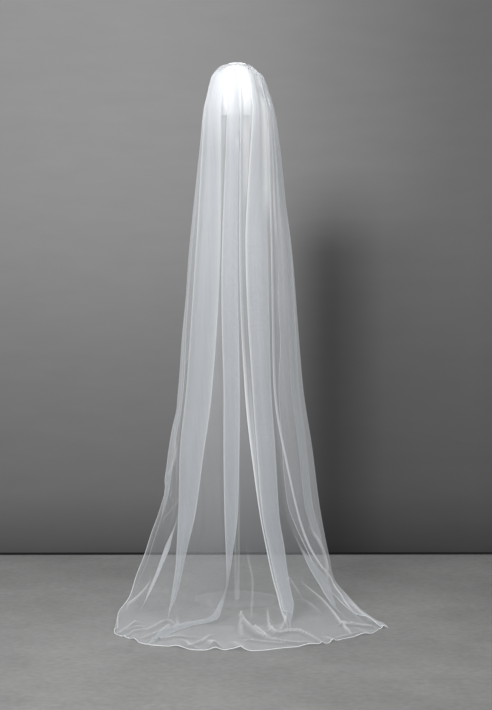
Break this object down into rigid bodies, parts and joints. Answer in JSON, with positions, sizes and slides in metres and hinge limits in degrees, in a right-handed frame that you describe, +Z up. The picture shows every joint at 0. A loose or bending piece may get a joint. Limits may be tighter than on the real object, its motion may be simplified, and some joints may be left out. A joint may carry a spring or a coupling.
{
  "type": "bridal veil on a head form stand",
  "caption": "Floor-length sheer tulle veil with a small train, gathered on a comb over a plain head form on a clear stand.",
  "frame": {"origin": "middle of the stand base's underside, on the floor below the head form", "axes": "+Z up, -Y toward the train, +Y toward the open side at the face, +X to the right seen from the train"},
  "size_m": [0.8168, 0.855, 1.755],
  "materials": {
    "tulle": "soft sheer tulle with a fine even net and a slight sheen",
    "white_form": "smooth matt white",
    "clear_acrylic": "clear polished acrylic",
    "pearl_plastic": "pearly moulded comb"
  },
  "bodies": {
    "root": {"veil_crown": "tulle", "veil_fall_left": "tulle", "veil_fall_middle": "tulle", "veil_fall_right": "tulle", "veil_return_right": "tulle", "veil_train_left": "tulle", "veil_train_middle": "tulle", "veil_train_right": "tulle", "heading": "tulle", "comb": "pearl_plastic", "head_form": "white_form", "stand_post": "clear_acrylic", "stand_base": "clear_acrylic"}
  },
  "joints": []
}
